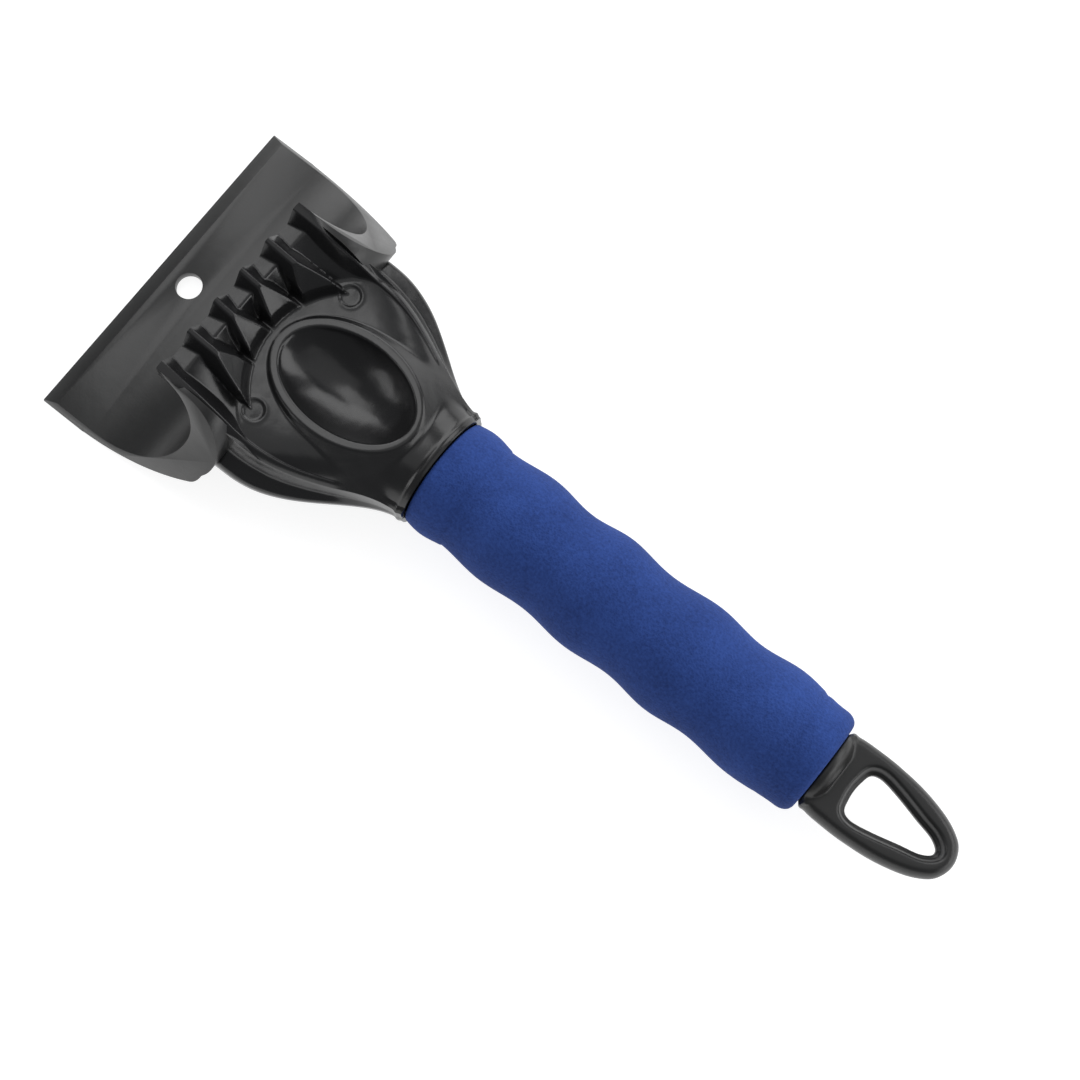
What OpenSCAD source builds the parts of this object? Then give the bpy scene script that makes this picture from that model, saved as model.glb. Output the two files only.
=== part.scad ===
// Hand ice scraper: curled blade, two-part head with ice breaker teeth and a
// thumb bowl, tube handle with a foam sleeve, and a hanging loop at its end.
// Length runs along X, blade edge at -X and loop at +X; the thumb bowl is on top (+Z).

/* [Overall] */
// Blade edge to the front of the grip
head_len = 104.6; // [98:0.2:130]
// Width of the blade at its edge
blade_w = 102; // [88:1:125]
// Length of the foam grip
grip_len = 130; // [100:1:170]
// Length of the hanging loop beyond the grip
loop_len = 42.6; // [38:0.2:56]
// Height of the handle axis above the blade's resting face
axis_h = 17.2; // [17.2:0.1:22]

/* [Blade] */
// Thickness of the flat part of the blade
blade_t = 3; // [2.4:0.1:4]
// Length of the bevel on top of the edge
bevel_len = 4.6; // [3:0.2:7]
// Thickness left at the edge itself
edge_t = 0.5; // [0.3:0.1:1]
// Length of the flat floor behind the bevel
floor_len = 13.2; // [12:0.2:20]
// Radius of the scoop where it leaves the floor
scoop_r = 30; // [26:0.5:34]
// Turn of the scoop before it starts to curl forward
scoop_turn = 80; // [70:1:86]
// Radius of the curled top of the scoop
curl_r = 12; // [10:0.5:14]
// Turn at which the curl ends
curl_turn = 165; // [150:1:172]
// Greatest thickness of each wing
wing_t = 9.6; // [7:0.2:12]
// Radius of the wing's rounded back
wing_back_r = 15; // [13:0.5:17]
// Inward lean of the wing ends for each millimetre of height
wing_lean = 0.5; // [0.4:0.01:0.6]
// Wall of the scoop where the head covers its back
scoop_wall = 3; // [2.4:0.1:4]
// Diameter of the hole in the blade
hang_hole_d = 7.8; // [5:0.1:9]
// Centre of that hole behind the edge
hang_hole_in = 11.2; // [10.8:0.1:12]
// Thickness of the blade's fixing tongue
tongue_t = 3; // [2:0.1:4]
// Width of the fixing tongue
tongue_w = 52; // [48:1:55]
// Width between the wings where the head seats on the scoop
seat_w = 57; // [56:0.5:60]
// Height of the top of the scoop wall under the head's brow
wall_top = 9.5; // [8:0.5:11]

/* [Head] */
// Half width of the lower shell just behind the wings
body_w = 37.2; // [34:0.1:39]
// Half width of the deck just behind the wings
deck_w = 30.4; // [29:0.1:32]
// Height of the deck behind the teeth, above the handle axis
deck_z = 14; // [13:0.1:15.5]
// Height of the deck edge behind the wings
edge_z = 13; // [10:0.1:13.5]
// Depth of the lower shell behind the wings
base_z = 9; // [8:0.1:12]
// Wall of both shells
shell_t = 2.6; // [2:0.1:3.2]
// Radius of the neck where it meets the grip
neck_r = 17.2; // [16.6:0.1:18.5]
// Height of the valleys between the teeth
valley_z = 23; // [22:0.1:24]
// Thickness of the brow's lip, under the valleys
lip_t = 2; // [1.6:0.1:2.6]
// Height of the tooth tips
tooth_z = 27.6; // [26:0.1:30]
// Number of teeth
tooth_count = 6; // [4:2:8]
// Distance between teeth
tooth_pitch = 10.7; // [8:0.1:11]
// Width of a tooth along its crest
crest_w = 1.1; // [0.8:0.1:2]
// Width of a tooth at its foot
foot_w = 8; // [6:0.1:9]
// Length of the thumb bowl's rim
bowl_len = 46.4; // [40:0.1:47]
// Width of the thumb bowl's rim
bowl_w = 34.8; // [30:0.1:36]
// Width of the raised rim
rim_w = 2.6; // [2:0.1:3.5]
// Height of the raised rim above the deck
rim_h = 1.3; // [0.8:0.1:2]
// Depth of the thumb bowl below its rim
bowl_deep = 8.6; // [6:0.1:9]
// Distance from the grip to the middle of the bowl
bowl_in = 31.8; // [31:0.1:33]
// Height of the deck under the middle of the bowl's rim
bowl_z = 14.8; // [14:0.1:16]
// Rise of the bowl's rim towards the grip, in degrees
bowl_tilt = 6; // [3:0.5:8]

/* [Screws] */
// Diameter of the screw shank
screw_d = 3; // [2.6:0.1:3.5]
// Diameter of the screw head
screw_head_d = 6; // [5:0.1:7]
// Half the distance between the two screws
screw_y = 20.4; // [17:0.1:21]
// Distance from the grip to the screws
screw_in = 46; // [44:0.1:48]
// Diameter of each screw boss
boss_d = 7.4; // [6.4:0.1:8]

/* [Handle] */
// Outside diameter of the handle tube
core_d = 22; // [20:0.1:24]
// Wall of the handle tube
core_t = 3; // [2:0.1:4]
// Length of tube held inside the neck
core_in = 15; // [12:0.5:16]
// Radius of the foam grip
grip_r = 17.1; // [16:0.1:17.2]
// Rounding of the grip's free end
grip_round = 4; // [2:0.5:5]
// Diameter of the pegs that lock the tube in the neck
peg_d = 5; // [4:0.1:6]
// Distance from the grip back to the pegs
peg_in = 8; // [7:0.5:9]

/* [Loop] */
// Width of the hanging loop at its base
loop_w = 25.4; // [20:0.2:30]
// Thickness of the hanging loop
loop_t = 9.6; // [7:0.1:12]
// Radius of the loop's tip
loop_tip_r = 8; // [6:0.1:9]
// Width of the loop's bar beside the opening
bar_w = 6; // [4.5:0.1:6.5]
// Length of the plug inside the tube
plug_len = 20; // [14:0.5:30]
// Diameter of the pin through the tube and the plug
pin_d = 3; // [2.5:0.1:4]

/* [Clearances] */
// Gap between the head shells and the blade
seat_gap = 0.1; // [0.05:0.05:0.3]
// Gap round a tube or plug in its socket, on the radius
slip_gap = 0.1; // [0.05:0.05:0.3]
// Gap round a screw shank in the parts that it clamps, on the radius
screw_gap = 0.25; // [0.1:0.05:0.5]

/* [Hidden] */

// Fine enough that a round stays round, coarse enough to read
$fn = 64;
// Cut depth past a face
over = 1;
overall_len = head_len + grip_len + loop_len;

// The handle axis is z = 0 and the front of the grip is x = 0 while a piece is drawn.
edge_x = -head_len;
rest_z = -axis_h;
floor_z = rest_z + blade_t;
// Scoop: floor, large radius, then the tighter curl
bend_x = edge_x + bevel_len + floor_len;
scoop_c = [bend_x, floor_z + scoop_r];
curl_c = scoop_c + (scoop_r - curl_r) * [sin(scoop_turn), -cos(scoop_turn)];
// Wing back: round behind the thickest point, a long radius below
back_c = [curl_c.x + curl_r + wing_t - wing_back_r, curl_c.y - 2.7];
back_x = back_c.x + wing_back_r;
heel = back_c + wing_back_r * [cos(-45), sin(-45)];
sole_x = edge_x + 9.6;
sole_rise = heel.y - 2.4 - rest_z;
sole_run = heel.x + 0.4 - sole_x;
sole_r = (sole_run * sole_run + sole_rise * sole_rise) / (2 * sole_rise);
sole_turn = asin(sole_run / sole_r);
// Tooth tips stand over the end of the curl
tooth_x = curl_c.x - 2.2;
rear_x = -bowl_in;
tongue_x = -screw_in + 7;

function arc(c, r, a0, a1, n) = [for (i = [0:n]) let (a = a0 + (a1 - a0) * i / n) c + r * [cos(a), sin(a)]];
function smooth(t) = t * t * (3 - 2 * t);
function mix(a, b, t) = a + (b - a) * t;

// Moves a piece from the drawing axes to the part's own frame
module place() translate([head_len - overall_len / 2, 0, axis_h]) children();

// Extrudes a side view, drawn in X and Z, to both sides of the middle
module side_view(width) rotate([90, 0, 0]) linear_extrude(width, center = true) children();

// ---------------------------------------------------------------- blade
function scoop_face(grow) = concat(
    arc(scoop_c, scoop_r + grow, -90, scoop_turn - 90, 16),
    arc(curl_c, curl_r + grow, scoop_turn - 86, curl_turn - 90, 12));

// Side view of a wing, with its back moved out by a gap
module wing_section(gap = 0) polygon(concat(
    [[edge_x, rest_z + edge_t], [edge_x, rest_z]],
    arc([sole_x, rest_z + sole_r], sole_r, -90, sole_turn - 90, 12),
    arc(back_c, wing_back_r + gap, -45, 98, 24),
    [[tooth_x + 0.6, tooth_z - 1.4 + gap]],
    [for (i = [29:-1:0]) scoop_face(0)[i]],
    [[edge_x + bevel_len, floor_z]]));

// What the head takes up behind the scoop wall, above the tongue
module head_pocket(gap) {
    lo = tongue_t / 2 + gap;
    side_view(seat_w - 2 * gap) difference() {
        translate([2 * edge_x, lo]) square([-2 * edge_x, 2 * tooth_z]);
        intersection() {
            polygon(concat([[2 * edge_x, floor_z]], scoop_face(scoop_wall + gap), [[2 * edge_x, tooth_z]]));
            translate([2 * edge_x, rest_z]) square([-2 * edge_x, wall_top + gap - rest_z]);
        }
    }
}

// Open space in front of the scoop, up to the lip
module mouth() side_view(2 * blade_w) intersection() {
    polygon(concat([[2 * edge_x, floor_z]], scoop_face(seat_gap), [[2 * edge_x, 2 * tooth_z]]));
    translate([2 * edge_x, rest_z]) square([-2 * edge_x, valley_z - lip_t - rest_z]);
}

// Width left by the leaning ends of the wings
module wing_ends() {
    top = tooth_z + 4;
    rotate([90, 0, 90]) linear_extrude(2 * head_len, center = true)
        polygon([[-blade_w / 2, rest_z - over], [blade_w / 2, rest_z - over], [blade_w / 2, rest_z],
            [blade_w / 2 - wing_lean * (top - rest_z), top], [-blade_w / 2 + wing_lean * (top - rest_z), top],
            [-blade_w / 2, rest_z]]);
}

module screw_places() for (s = [-1, 1]) translate([-screw_in, s * screw_y, 0]) children();

module scraper_blade() color([0.16, 0.16, 0.17]) place() difference() {
    union() {
        intersection() {
            side_view(blade_w) wing_section();
            wing_ends();
        }
        translate([heel.x - 4, -tongue_w / 2, -tongue_t / 2]) cube([tongue_x - heel.x + 4, tongue_w, tongue_t]);
    }
    head_pocket(0);
    translate([edge_x + hang_hole_in, 0, rest_z - over]) cylinder(h = blade_t + 2 * over, d = hang_hole_d);
    screw_places() translate([0, 0, -tongue_t]) cylinder(h = 2 * tongue_t, r = screw_d / 2 + screw_gap);
}

// ---------------------------------------------------------------- head shells
// Lengthwise place: 0 behind the wings, 1 at the grip
function along(x) = min(1, max(0, (x - back_x) / -back_x));
function taper(t) = 1 - smooth(pow(t, 1.25));
// Sizes of the cross-section at x, less a wall g: flank width and height, deck width and height, top, bottom
function section(x, g) = let (t = along(x)) [
    mix(neck_r + 0.2, body_w, taper(t)) - g,
    mix(-0.5, 4.6, pow(1 - t, 1.5)),
    mix(neck_r, deck_w, taper(t)) - g,
    mix(0.6, edge_z, pow(1 - t, 2)),
    mix(deck_z, neck_r, smooth(t)) - g,
    -mix(base_z, neck_r, smooth(pow(t, 0.8))) + g,
    mix(0.5, 1, smooth(t))];
function both_sides(half) = concat(half, [for (i = [len(half) - 1:-1:0]) [half[i].x, -half[i].y, half[i].z]]);
// Outline of the flanks and the underside
function low_ring(x, g) = let (c = section(x, g)) both_sides(concat(
    [for (a = [-88:11:0]) [x, c[0] * cos(a), c[1] + (c[1] - c[5]) * sin(a)]], [[x, c[2], c[3]]]));
// Outline of the deck, from the foot of its edge to the top
function high_ring(x, g) = let (c = section(x, g)) both_sides(concat([[x, c[2] - 0.5, c[1] - 1]],
    [for (a = [0:11:88]) [x, c[2] * pow(cos(a), c[6]), c[3] + (c[4] - c[3]) * pow(sin(a), c[6])]]));

// Skin over a row of convex outlines, one hull from each to the next
module skin(rings) for (i = [0:len(rings) - 2]) hull() {
    n = len(rings[0]);
    polyhedron(concat(rings[i], rings[i + 1]), concat([[for (j = [0:n - 1]) j]],
        [for (j = [0:n - 1]) let (k = (j + 1) % n) [k, j, j + n, k + n]], [[for (j = [n - 1:-1:0]) j + n]]));
}

front_x = back_x - 5;
function stations(x0, x1, n) = [for (i = [0:n]) mix(x0, x1, i / n)];
module body_form(places, g) {
    skin([for (x = places) low_ring(x, g)]);
    skin([for (x = places) high_ring(x, g)]);
}
module head_form() body_form(concat([front_x], stations(back_x, 0, 13)), 0);
module head_hollow() body_form(stations(back_x - 1, -core_in - shell_t, 8), shell_t);

module above() translate([-2 * head_len, -blade_w, 0]) cube([3 * head_len, 2 * blade_w, 4 * neck_r]);
module core_socket() rotate([0, 90, 0]) translate([0, 0, -core_in - slip_gap])
    cylinder(h = core_in + over, d = core_d + 2 * slip_gap);

// Ellipse in plan, tapered upwards by a ratio
module oval(len, wid, h, grow = 1) scale([1, wid / len, 1]) linear_extrude(h, scale = grow) circle(d = len, $fn = 60);

// A tooth: narrow crest, sloping flanks and a triangular slope behind
module tooth(y, crest_x, foot_x, foot_z, crest, foot) {
    c = crest / 2;
    f = foot / 2;
    back_z = mix(tooth_z, valley_z, (crest_x - tooth_x) / 14);
    translate([0, y, 0]) polyhedron([
        [tooth_x, -f, foot_z], [tooth_x, f, foot_z], [foot_x, f, foot_z], [foot_x, -f, foot_z],
        [tooth_x, -c, tooth_z], [tooth_x, c, tooth_z], [crest_x, c, back_z], [crest_x, -c, back_z]],
        [[3, 2, 1, 0], [4, 5, 6, 7], [0, 1, 5, 4], [1, 2, 6, 5], [2, 3, 7, 6], [3, 0, 4, 7]]);
}

// Front of a curve round the thumb bowl, at a distance y from the middle
function bowl_front(y, a, b) = rear_x - a * sqrt(1 - y * y / (b * b));
outer_y = (tooth_count - 1) * tooth_pitch / 2;

module teeth() {
    for (i = [0:tooth_count - 3]) let (y = (i - (tooth_count - 3) / 2) * tooth_pitch)
        tooth(y, bowl_front(y, 32, 31), bowl_front(y, 27, 28), valley_z - 3, crest_w, foot_w);
    for (s = [-1, 1]) tooth(s * outer_y, back_x - 2, back_x + 9, edge_z - 5, 2.6, 4.6);
}

// Raised front that carries the teeth, over the curl of the blade
module brow() difference() {
    intersection() {
        side_view(2 * deck_w) polygon([[tooth_x + 0.3, wall_top - 5], [tooth_x + 0.3, valley_z],
            [back_x - 6, valley_z - 1], [back_x + 6, deck_z - 2], [back_x + 6, 9], [back_x - 1, 9],
            [back_x - 1, wall_top - 5]]);
        wing_ends();
    }
    on_bowl() oval(bowl_len + 0.6, bowl_w + 5, 9, 1.1);
}

// Bowl's own place: over its middle, tilted as its rim is
module on_bowl() translate([rear_x, 0, bowl_z]) rotate([0, -bowl_tilt, 0]) children();

module head_top_shell() color([0.06, 0.06, 0.065]) place() difference() {
    union() {
        difference() {
            union() {
                intersection() { head_form(); above(); }
                brow();
                teeth();
            }
            difference() {
                head_hollow();
                on_bowl() translate([0, 0, -bowl_deep - 1]) oval(bowl_len - 1, bowl_w - 1, 30);
            }
            tongue_slot();
        }
        on_bowl() translate([0, 0, -2]) oval(bowl_len, bowl_w, rim_h + 2, 0.96);
        screw_places() translate([0, 0, tongue_t / 2 + seat_gap]) cylinder(h = deck_z - 3, d = boss_d);
    }
    bowl_cut();
    mouth();
    blade_room();
    difference() {
        core_socket();
        pegs();
    }
    screw_places() cylinder(h = deck_z - 3.4, r = screw_d / 2);
}

module below() translate([-2 * head_len, -blade_w, -4 * neck_r]) cube([3 * head_len, 2 * blade_w, 4 * neck_r]);

// Bowl pressed into the deck for the thumb
module bowl_cut() {
    in_len = bowl_len - 2 * rim_w;
    in_w = bowl_w - 2 * rim_w;
    r = (in_len * in_len / 4 + bowl_deep * bowl_deep) / (2 * bowl_deep);
    on_bowl() translate([0, 0, rim_h - bowl_deep + r]) scale([1, in_w / in_len, 1]) sphere(r = r, $fn = 60);
}

// Room for the blade's tongue between the shells
module tongue_slot() let (half = tongue_t / 2 + 1.5 * seat_gap, side = tongue_w / 2 + slip_gap)
    translate([back_x - 12, -side, -half]) cube([tongue_x - back_x + 12 + slip_gap, 2 * side, 2 * half]);

// Everything in front of the seat on the back of the blade
module blade_room() difference() {
    side_view(2 * blade_w) wing_section(seat_gap);
    head_pocket(seat_gap);
}

// Pegs on the shells that stand in the cross hole of the tube
module pegs() for (s = [-1, 1]) scale([1, 1, s])
    translate([-peg_in, 0, core_d / 2 - core_t + 0.4]) cylinder(h = core_t + 1, d = peg_d);

module head_base_shell() color([0.06, 0.06, 0.065]) place() difference() {
    union() {
        difference() {
            intersection() { head_form(); below(); }
            head_hollow();
        }
        intersection() {
            screw_places() translate([0, 0, -2 * base_z]) cylinder(h = 2 * base_z - tongue_t / 2 - seat_gap, d = boss_d + 2);
            head_form();
        }
    }
    blade_room();
    tongue_slot();
    difference() {
        core_socket();
        pegs();
    }
    screw_places() {
        translate([0, 0, -2 * base_z]) cylinder(h = 2 * base_z, r = screw_d / 2 + screw_gap);
        translate([0, 0, -2 * base_z]) cylinder(h = 2 * base_z - 4.4, r = screw_head_d / 2 + screw_gap);
    }
}

// ---------------------------------------------------------------- screws
// Self-tapping screw from below, head against the step in the base shell
module head_screws() color([0.7, 0.7, 0.72]) place() screw_places() difference() {
    union() {
        translate([0, 0, -4.4 - 2]) cylinder(h = 2, d = screw_head_d);
        translate([0, 0, -4.4 - 0.01]) cylinder(h = 4.4 + deck_z - 5, d = screw_d);
    }
    for (a = [0, 90]) rotate(a) translate([-1.8, -0.4, -4.4 - 2 - over]) cube([3.6, 0.8, over + 1.1]);
}

// ---------------------------------------------------------------- handle
module handle_core() color([0.1, 0.1, 0.1]) place() difference() {
    rotate([0, 90, 0]) translate([0, 0, -core_in]) cylinder(h = core_in + grip_len - 1, d = core_d);
    rotate([0, 90, 0]) translate([0, 0, -core_in - over]) cylinder(h = core_in + grip_len + 2 * over, d = core_d - 2 * core_t);
    translate([-peg_in, 0, -core_d]) cylinder(h = 2 * core_d, d = peg_d + 2 * slip_gap);
    pin_place() cylinder(h = 2 * core_d, d = pin_d, center = true);
}

module pin_place() translate([grip_len - 1 - plug_len / 2, 0, 0]) rotate([90, 0, 0]) children();

module foam_grip() color([0.1, 0.2, 0.55]) place() rotate([0, 90, 0]) rotate_extrude() polygon(concat(
    [[core_d / 2, 0.3], [grip_r - 1.2, 0.3]],
    arc([grip_r - 1.2, 1.5], 1.2, -90, 0, 4),
    arc([grip_r - grip_round, grip_len - grip_round], grip_round, 0, 90, 8),
    [[core_d / 2, grip_len]]));

// ---------------------------------------------------------------- loop
tip_x = grip_len + loop_len - loop_tip_r;
neck_x = grip_len + 0.2;
module loop_outline() hull() {
    translate([neck_x + 2, -loop_w / 2 + 1]) square([8, loop_w - 2]);
    for (s = [-1, 1]) translate([neck_x + 14, s * (loop_w / 2 - 5)]) circle(r = 5, $fn = 32);
    translate([tip_x, 0]) circle(r = loop_tip_r);
}
module loop_opening() hull() {
    for (s = [-1, 1]) translate([neck_x + 13, s * (loop_w / 2 - bar_w - 3)]) circle(r = 3, $fn = 32);
    translate([tip_x, 0]) circle(r = loop_tip_r - bar_w + 0.2, $fn = 32);
}
module hang_loop() color([0.12, 0.12, 0.12]) place() difference() {
    union() {
        translate([0, 0, -loop_t / 2]) linear_extrude(loop_t) loop_outline();
        rotate([0, 90, 0]) translate([0, 0, neck_x]) cylinder(h = 4, d1 = loop_w, d2 = loop_w - 3);
        rotate([0, 90, 0]) translate([0, 0, grip_len - 1 - plug_len]) cylinder(h = plug_len + 2, d = core_d - 2 * core_t - 2 * slip_gap);
    }
    translate([0, 0, -loop_t]) linear_extrude(2 * loop_t) loop_opening();
    pin_place() cylinder(h = 2 * core_d, d = pin_d, center = true);
}

// Pin that holds the loop's plug in the tube, covered by the grip
module loop_pin() color([0.7, 0.7, 0.72]) place() pin_place() cylinder(h = core_d - 0.4, d = pin_d, center = true);

scraper_blade();
head_top_shell();
head_base_shell();
head_screws();
handle_core();
foam_grip();
hang_loop();
loop_pin();
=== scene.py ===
# %% [markdown]
# # A hand ice scraper
# The object is a car ice scraper: a wide curled blade, a moulded head with a row
# of ice breaker teeth and a thumb bowl, a tube handle in a foam sleeve, and a
# hanging loop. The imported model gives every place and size, in metres, with the
# blade edge at -X, the loop at +X and the thumb bowl upwards.

# %% Load the frame
import math

import bpy
import numpy as np
from mathutils import Matrix, Vector


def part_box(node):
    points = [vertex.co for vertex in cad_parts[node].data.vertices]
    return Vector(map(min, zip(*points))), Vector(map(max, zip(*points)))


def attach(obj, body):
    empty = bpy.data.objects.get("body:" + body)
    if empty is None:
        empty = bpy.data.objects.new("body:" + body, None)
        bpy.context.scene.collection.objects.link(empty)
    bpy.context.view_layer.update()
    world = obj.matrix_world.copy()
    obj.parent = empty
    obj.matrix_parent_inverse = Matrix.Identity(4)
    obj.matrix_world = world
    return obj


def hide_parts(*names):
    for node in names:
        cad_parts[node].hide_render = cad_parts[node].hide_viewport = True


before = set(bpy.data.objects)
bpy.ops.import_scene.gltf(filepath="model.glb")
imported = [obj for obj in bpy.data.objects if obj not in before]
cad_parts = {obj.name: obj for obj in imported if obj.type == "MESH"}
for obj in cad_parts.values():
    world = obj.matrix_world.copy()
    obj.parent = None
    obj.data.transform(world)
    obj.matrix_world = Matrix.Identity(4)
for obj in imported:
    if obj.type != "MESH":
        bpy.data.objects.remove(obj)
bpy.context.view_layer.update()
bpy.ops.object.select_all(action="DESELECT")

# %% [markdown]
# All pieces hang on one line, the axis of the handle. Two CAD boxes give it: the
# foam sleeve starts where the head ends, and the tube's middle is the axis. A
# small function turns millimetres measured from that point into a place in the
# model, so the rest of the lesson reads like a drawing.

# %% Places on the object
MM = 0.001
SLEEVE_START = 0.3  # the sleeve begins this far behind the end of the head
sleeve_low, sleeve_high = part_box("foam_grip")
tube_low, tube_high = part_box("handle_core")
blade_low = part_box("scraper_blade")[0]
loop_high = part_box("hang_loop")[1]
origin = np.array([sleeve_low.x - SLEEVE_START * MM, 0.0, (tube_low.z + tube_high.z) / 2])
REST_Z = -origin[2] / MM  # height of the resting face below the axis
EDGE_X = (blade_low.x - origin[0]) / MM
GRIP_END = (sleeve_high.x - origin[0]) / MM
TIP_X = (loop_high.x - origin[0]) / MM


def at(x, y, z):
    """A place given in millimetres from the front of the sleeve, on the axis."""
    return Vector(origin + np.array([x, y, z]) * MM)


print("edge, grip end and loop tip in mm:", round(EDGE_X, 1), round(GRIP_END, 1), round(TIP_X, 1))

# %% [markdown]
# The camera comes early, because every later choice is judged through it. It
# looks down on the scraper from behind its middle, and it is turned so that the
# scraper runs from the upper left to the lower right. A long lens from a little
# over half a metre keeps the lengthening towards the edges small.

# %% Camera
camera_data = bpy.data.cameras.new("camera")
camera = bpy.data.objects.new("camera", camera_data)
bpy.context.scene.collection.objects.link(camera)
bpy.context.scene.camera = camera
CAMERA_PLACE = at(110.8, -98.5, 585.9)
camera_data.lens = 73.65
camera_data.sensor_width = 36
camera_data.clip_start = 0.01
forward = Vector((-0.12998586, 0.16711188, -0.97733172)).normalized()
right = Vector((0.78381358, 0.62099318, 0.00193451))
right = (right - right.dot(forward) * forward).normalized()
up = right.cross(forward)
turn = Matrix((right, up, -forward)).transposed()
camera.matrix_world = Matrix.Translation(CAMERA_PLACE) @ turn.to_4x4()
print("camera stands at", [round(v, 3) for v in camera.location])

# %% [markdown]
# The floor is a light table: a pale sheet that glows a little, so shadows on it
# stay faint. Black gloss plastic shows little colour of its own: what is seen on
# it is the lamps, so each softbox is placed where one face mirrors it towards the
# camera. One stands over the blade for the even grey of its floor, two on the far
# side and one beside draw the patches in the bowl, and one beyond the handle
# lights the facets behind the teeth.

# %% Floor and lights
bpy.ops.mesh.primitive_plane_add(size=30, location=(0, 0, -0.0002))
floor = bpy.context.object
floor.name = "floor"
bpy.context.scene.view_settings.view_transform = "Standard"
world = bpy.data.worlds.new("studio")
bpy.context.scene.world = world
world.use_nodes = True
world.node_tree.nodes["Background"].inputs["Color"].default_value = (0.95, 0.97, 1, 1)
studio = world.node_tree
backdrop = studio.nodes.new("ShaderNodeMapRange")
backdrop.inputs["To Min"].default_value = 0.22  # the light it gives is faint
backdrop.inputs["To Max"].default_value = 0.85  # what the camera sees of it is pale
rays = studio.nodes.new("ShaderNodeLightPath")
studio.links.new(rays.outputs["Is Camera Ray"], backdrop.inputs["Value"])
studio.links.new(backdrop.outputs["Result"], studio.nodes["Background"].inputs["Strength"])


def softbox(name, place, width, height, radiance, aim=(0, 0, 0)):
    """A rectangular lamp that faces a point; radiance is its own brightness."""
    data = bpy.data.lights.new(name, "AREA")
    data.shape = "RECTANGLE"
    data.size, data.size_y = width, height
    data.energy = radiance * math.pi * width * height
    lamp = bpy.data.objects.new(name, data)
    bpy.context.scene.collection.objects.link(lamp)
    lamp.location = place
    lamp.rotation_euler = (Vector(aim) - Vector(place)).to_track_quat("-Z", "Y").to_euler()


softbox("ceiling", (0, 0, 2.4), 3.0, 3.0, 0.45)
softbox("blade_box", (-0.70, 0.25, 1.05), 0.62, 0.8, 1.95)
softbox("far_left", (-0.80, 1.0, 0.65), 1.8, 0.9, 2.5, (-0.3, 0, 0.1))
softbox("far_right", (0.85, 1.0, 0.70), 1.1, 0.9, 2.5, (0.2, 0, 0.1))
softbox("side_box", (-0.95, -0.80, 0.38), 0.7, 0.45, 2.2)
softbox("end_box", (1.3, 0.2, 0.3), 0.9, 0.55, 2.6)

# %% [markdown]
# A finish is a small network of nodes. To keep its maths readable, one class
# wraps a socket, and plus, minus and times on it add the Math nodes.

# %% A socket that can be calculated with


class Wire:
    """A socket of a material that can be used in an expression."""

    def __init__(self, tree, socket):
        self.tree, self.socket = tree, socket

    def node(self, kind, settings=None, **inputs):
        """Adds a node of a type: its settings first, then what its sockets get."""
        made = self.tree.nodes.new(kind)
        for name, value in (settings or {}).items():
            setattr(made, name, value)
        for name, value in inputs.items():
            # s0, s1 and so on are numbered sockets, anything else is a socket's name
            numbered = name[0] == "s" and name[1:].isdigit()
            socket = made.inputs[int(name[1:]) if numbered else name]
            if isinstance(value, Wire):
                self.tree.links.new(value.socket, socket)
            else:
                socket.default_value = value
        return made

    def out(self, kind, settings=None, output=0, **inputs):
        """Adds a node and wraps one of its outputs."""
        return Wire(self.tree, self.node(kind, settings, **inputs).outputs[output])

    def math(self, operation, a, b):
        return self.out("ShaderNodeMath", {"operation": operation}, s0=a, s1=b)

    def __add__(self, other): return self.math("ADD", self, other)
    def __radd__(self, other): return self.math("ADD", other, self)
    def __sub__(self, other): return self.math("SUBTRACT", self, other)
    def __rsub__(self, other): return self.math("SUBTRACT", other, self)
    def __mul__(self, other): return self.math("MULTIPLY", self, other)
    def __rmul__(self, other): return self.math("MULTIPLY", other, self)

    def limit(self, low, high):
        """The value held between two others and stretched to 0 and 1."""
        return self.out("ShaderNodeMapRange", None, s0=self, s1=low, s2=high)

    def mix(self, a, b):
        """Colour a where this value is 0, colour b where it is 1."""
        return self.out("ShaderNodeMix", {"data_type": "RGBA"}, output=2, s0=self, s6=a, s7=b)


def finish(name, base, roughness, specular=0.5):
    """A new material: its Principled shader, and a wire that holds object places."""
    made = bpy.data.materials.new(name)
    made.use_nodes = True
    shader = made.node_tree.nodes["Principled BSDF"]
    shader.inputs["Base Color"].default_value = (*base, 1)
    shader.inputs["Roughness"].default_value = roughness
    shader.inputs["Specular IOR Level"].default_value = specular
    places = made.node_tree.nodes.new("ShaderNodeTexCoord")
    return made, shader, Wire(made.node_tree, places.outputs["Object"])


def connect(wire, shader, socket):
    wire.tree.links.new(wire.socket, shader.inputs[socket])


def relief(wire, shader, height, distance, strength=1.0):
    """Feeds a height to the shader's normal through a Bump node."""
    bump = wire.out("ShaderNodeBump", None, Height=height, Distance=distance, Strength=strength)
    connect(bump, shader, "Normal")


def cover(piece, material):
    piece.data.materials.clear()
    piece.data.materials.append(material)


# %% [markdown]
# The head, the blade and the loop are moulded black plastic. A mould is never
# perfectly smooth, so its gloss has a faint long wave, and handling leaves it a
# little duller in places. The head is glossy, the blade more satin.

# %% Black plastics


def moulded(name, base, roughness, wave, grain):
    """Plastic with a long wave and a fine grain in its relief, and uneven gloss."""
    made, shader, places = finish(name, base, roughness)
    slow = places.out("ShaderNodeTexNoise", None, Vector=places, Scale=90.0, Detail=2.0)
    fine = places.out("ShaderNodeTexNoise", None, Vector=places, Scale=1400.0, Detail=2.0)
    wear = places.out("ShaderNodeTexNoise", None, Vector=places, Scale=45.0, Detail=5.0)
    connect(roughness + (wear - 0.5) * 0.14 + (fine - 0.5) * 0.08, shader, "Roughness")
    relief(places, shader, slow * wave + fine * grain, 0.001)
    return made


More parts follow.
